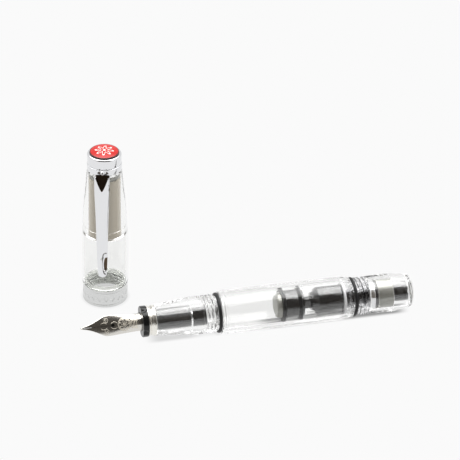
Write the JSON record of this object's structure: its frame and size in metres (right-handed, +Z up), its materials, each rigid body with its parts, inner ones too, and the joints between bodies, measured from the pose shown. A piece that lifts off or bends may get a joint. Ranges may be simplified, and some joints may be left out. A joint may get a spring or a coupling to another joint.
{
  "type": "fountain pen",
  "caption": "Clear piston-filling fountain pen lying uncapped, with its clipped screw cap standing beside it and a turning filler knob that drives the piston.",
  "frame": {"origin": "on the pen's axis at the barrel's front face", "axes": "+X along the pen from nib to filler knob, +Z up, the cap stands on the +Y side of the nib"},
  "size_m": [0.1085, 0.042, 0.0548],
  "materials": {
    "clear_plastic": "clear polished acrylic",
    "smoke_plastic": "smoke-grey translucent plastic",
    "black_plastic": "black polished plastic",
    "black_rubber": "black rubber",
    "bright_metal": "polished chromium plating",
    "band_metal": "fine satin metal",
    "nib_steel": "polished steel",
    "liner_plastic": "warm grey plastic",
    "insert_plastic": "pale grey plastic",
    "pale_plastic": "pale plastic",
    "jewel_red": "clear red"
  },
  "bodies": {
    "pen": {"barrel": "clear_plastic", "front_oring": "black_rubber", "rear_oring": "black_rubber", "section": "clear_plastic", "trim_ring": "bright_metal", "nib_housing": "black_plastic", "nib": "nib_steel", "feed": "black_plastic", "feed_sleeve": "black_plastic", "piston_guide": "black_plastic", "guide_ring": "pale_plastic", "rear_connector": "clear_plastic", "wrench_collar": "bright_metal"},
    "piston": {"piston_nose": "smoke_plastic", "piston_seal": "black_rubber", "piston_rod": "black_plastic"},
    "knob_carrier": {"thrust_washer": "black_plastic"},
    "knob": {"knob": "clear_plastic", "knob_sleeve": "smoke_plastic", "spindle": "black_plastic"},
    "cap_core": {"cap_liner": "liner_plastic", "liner_collar": "smoke_plastic"},
    "cap": {"cap_body": "clear_plastic", "cap_band": "band_metal", "cap_thread_insert": "insert_plastic", "clip_ring": "bright_metal", "crown": "bright_metal", "jewel_inlay": "pale_plastic", "jewel": "jewel_red"},
    "clip": {"clip": "bright_metal"}
  },
  "joints": [
    {"name": "knob_turn", "type": "hinge", "parent": "knob_carrier", "child": "knob", "pos_m": [0.05, 0, 0], "axis": [1, 0, 0], "range_deg": [0, 1440.01]},
    {"name": "knob_rise", "type": "slide", "parent": "pen", "child": "knob_carrier", "axis": [1, 0, 0], "range_m": [0, 0.0032]},
    {"name": "piston_travel", "type": "slide", "parent": "pen", "child": "piston", "axis": [-1, 0, 0], "range_m": [0, 0.017]},
    {"name": "cap_lift", "type": "slide", "parent": "pen", "child": "cap_core", "axis": [0, 0, 1], "range_m": [0, 0.06]},
    {"name": "cap_turn", "type": "hinge", "parent": "cap_core", "child": "cap", "pos_m": [-0.0315, 0.02755, 0], "axis": [0, 0, 1], "continuous": true},
    {"name": "clip_flex", "type": "hinge", "parent": "cap", "child": "clip", "pos_m": [-0.03338, 0.02196, 0.04255], "axis": [-0.9478, 0.319, 0], "range_deg": [0, 4.5], "stiffness_Nm_per_rad": 0.8}
  ],
  "couplings": [
    {"joint": "knob_turn", "follows": "piston_travel", "rad_per_m": 1478.4},
    {"joint": "knob_rise", "follows": "piston_travel", "ratio": 0.18824}
  ]
}
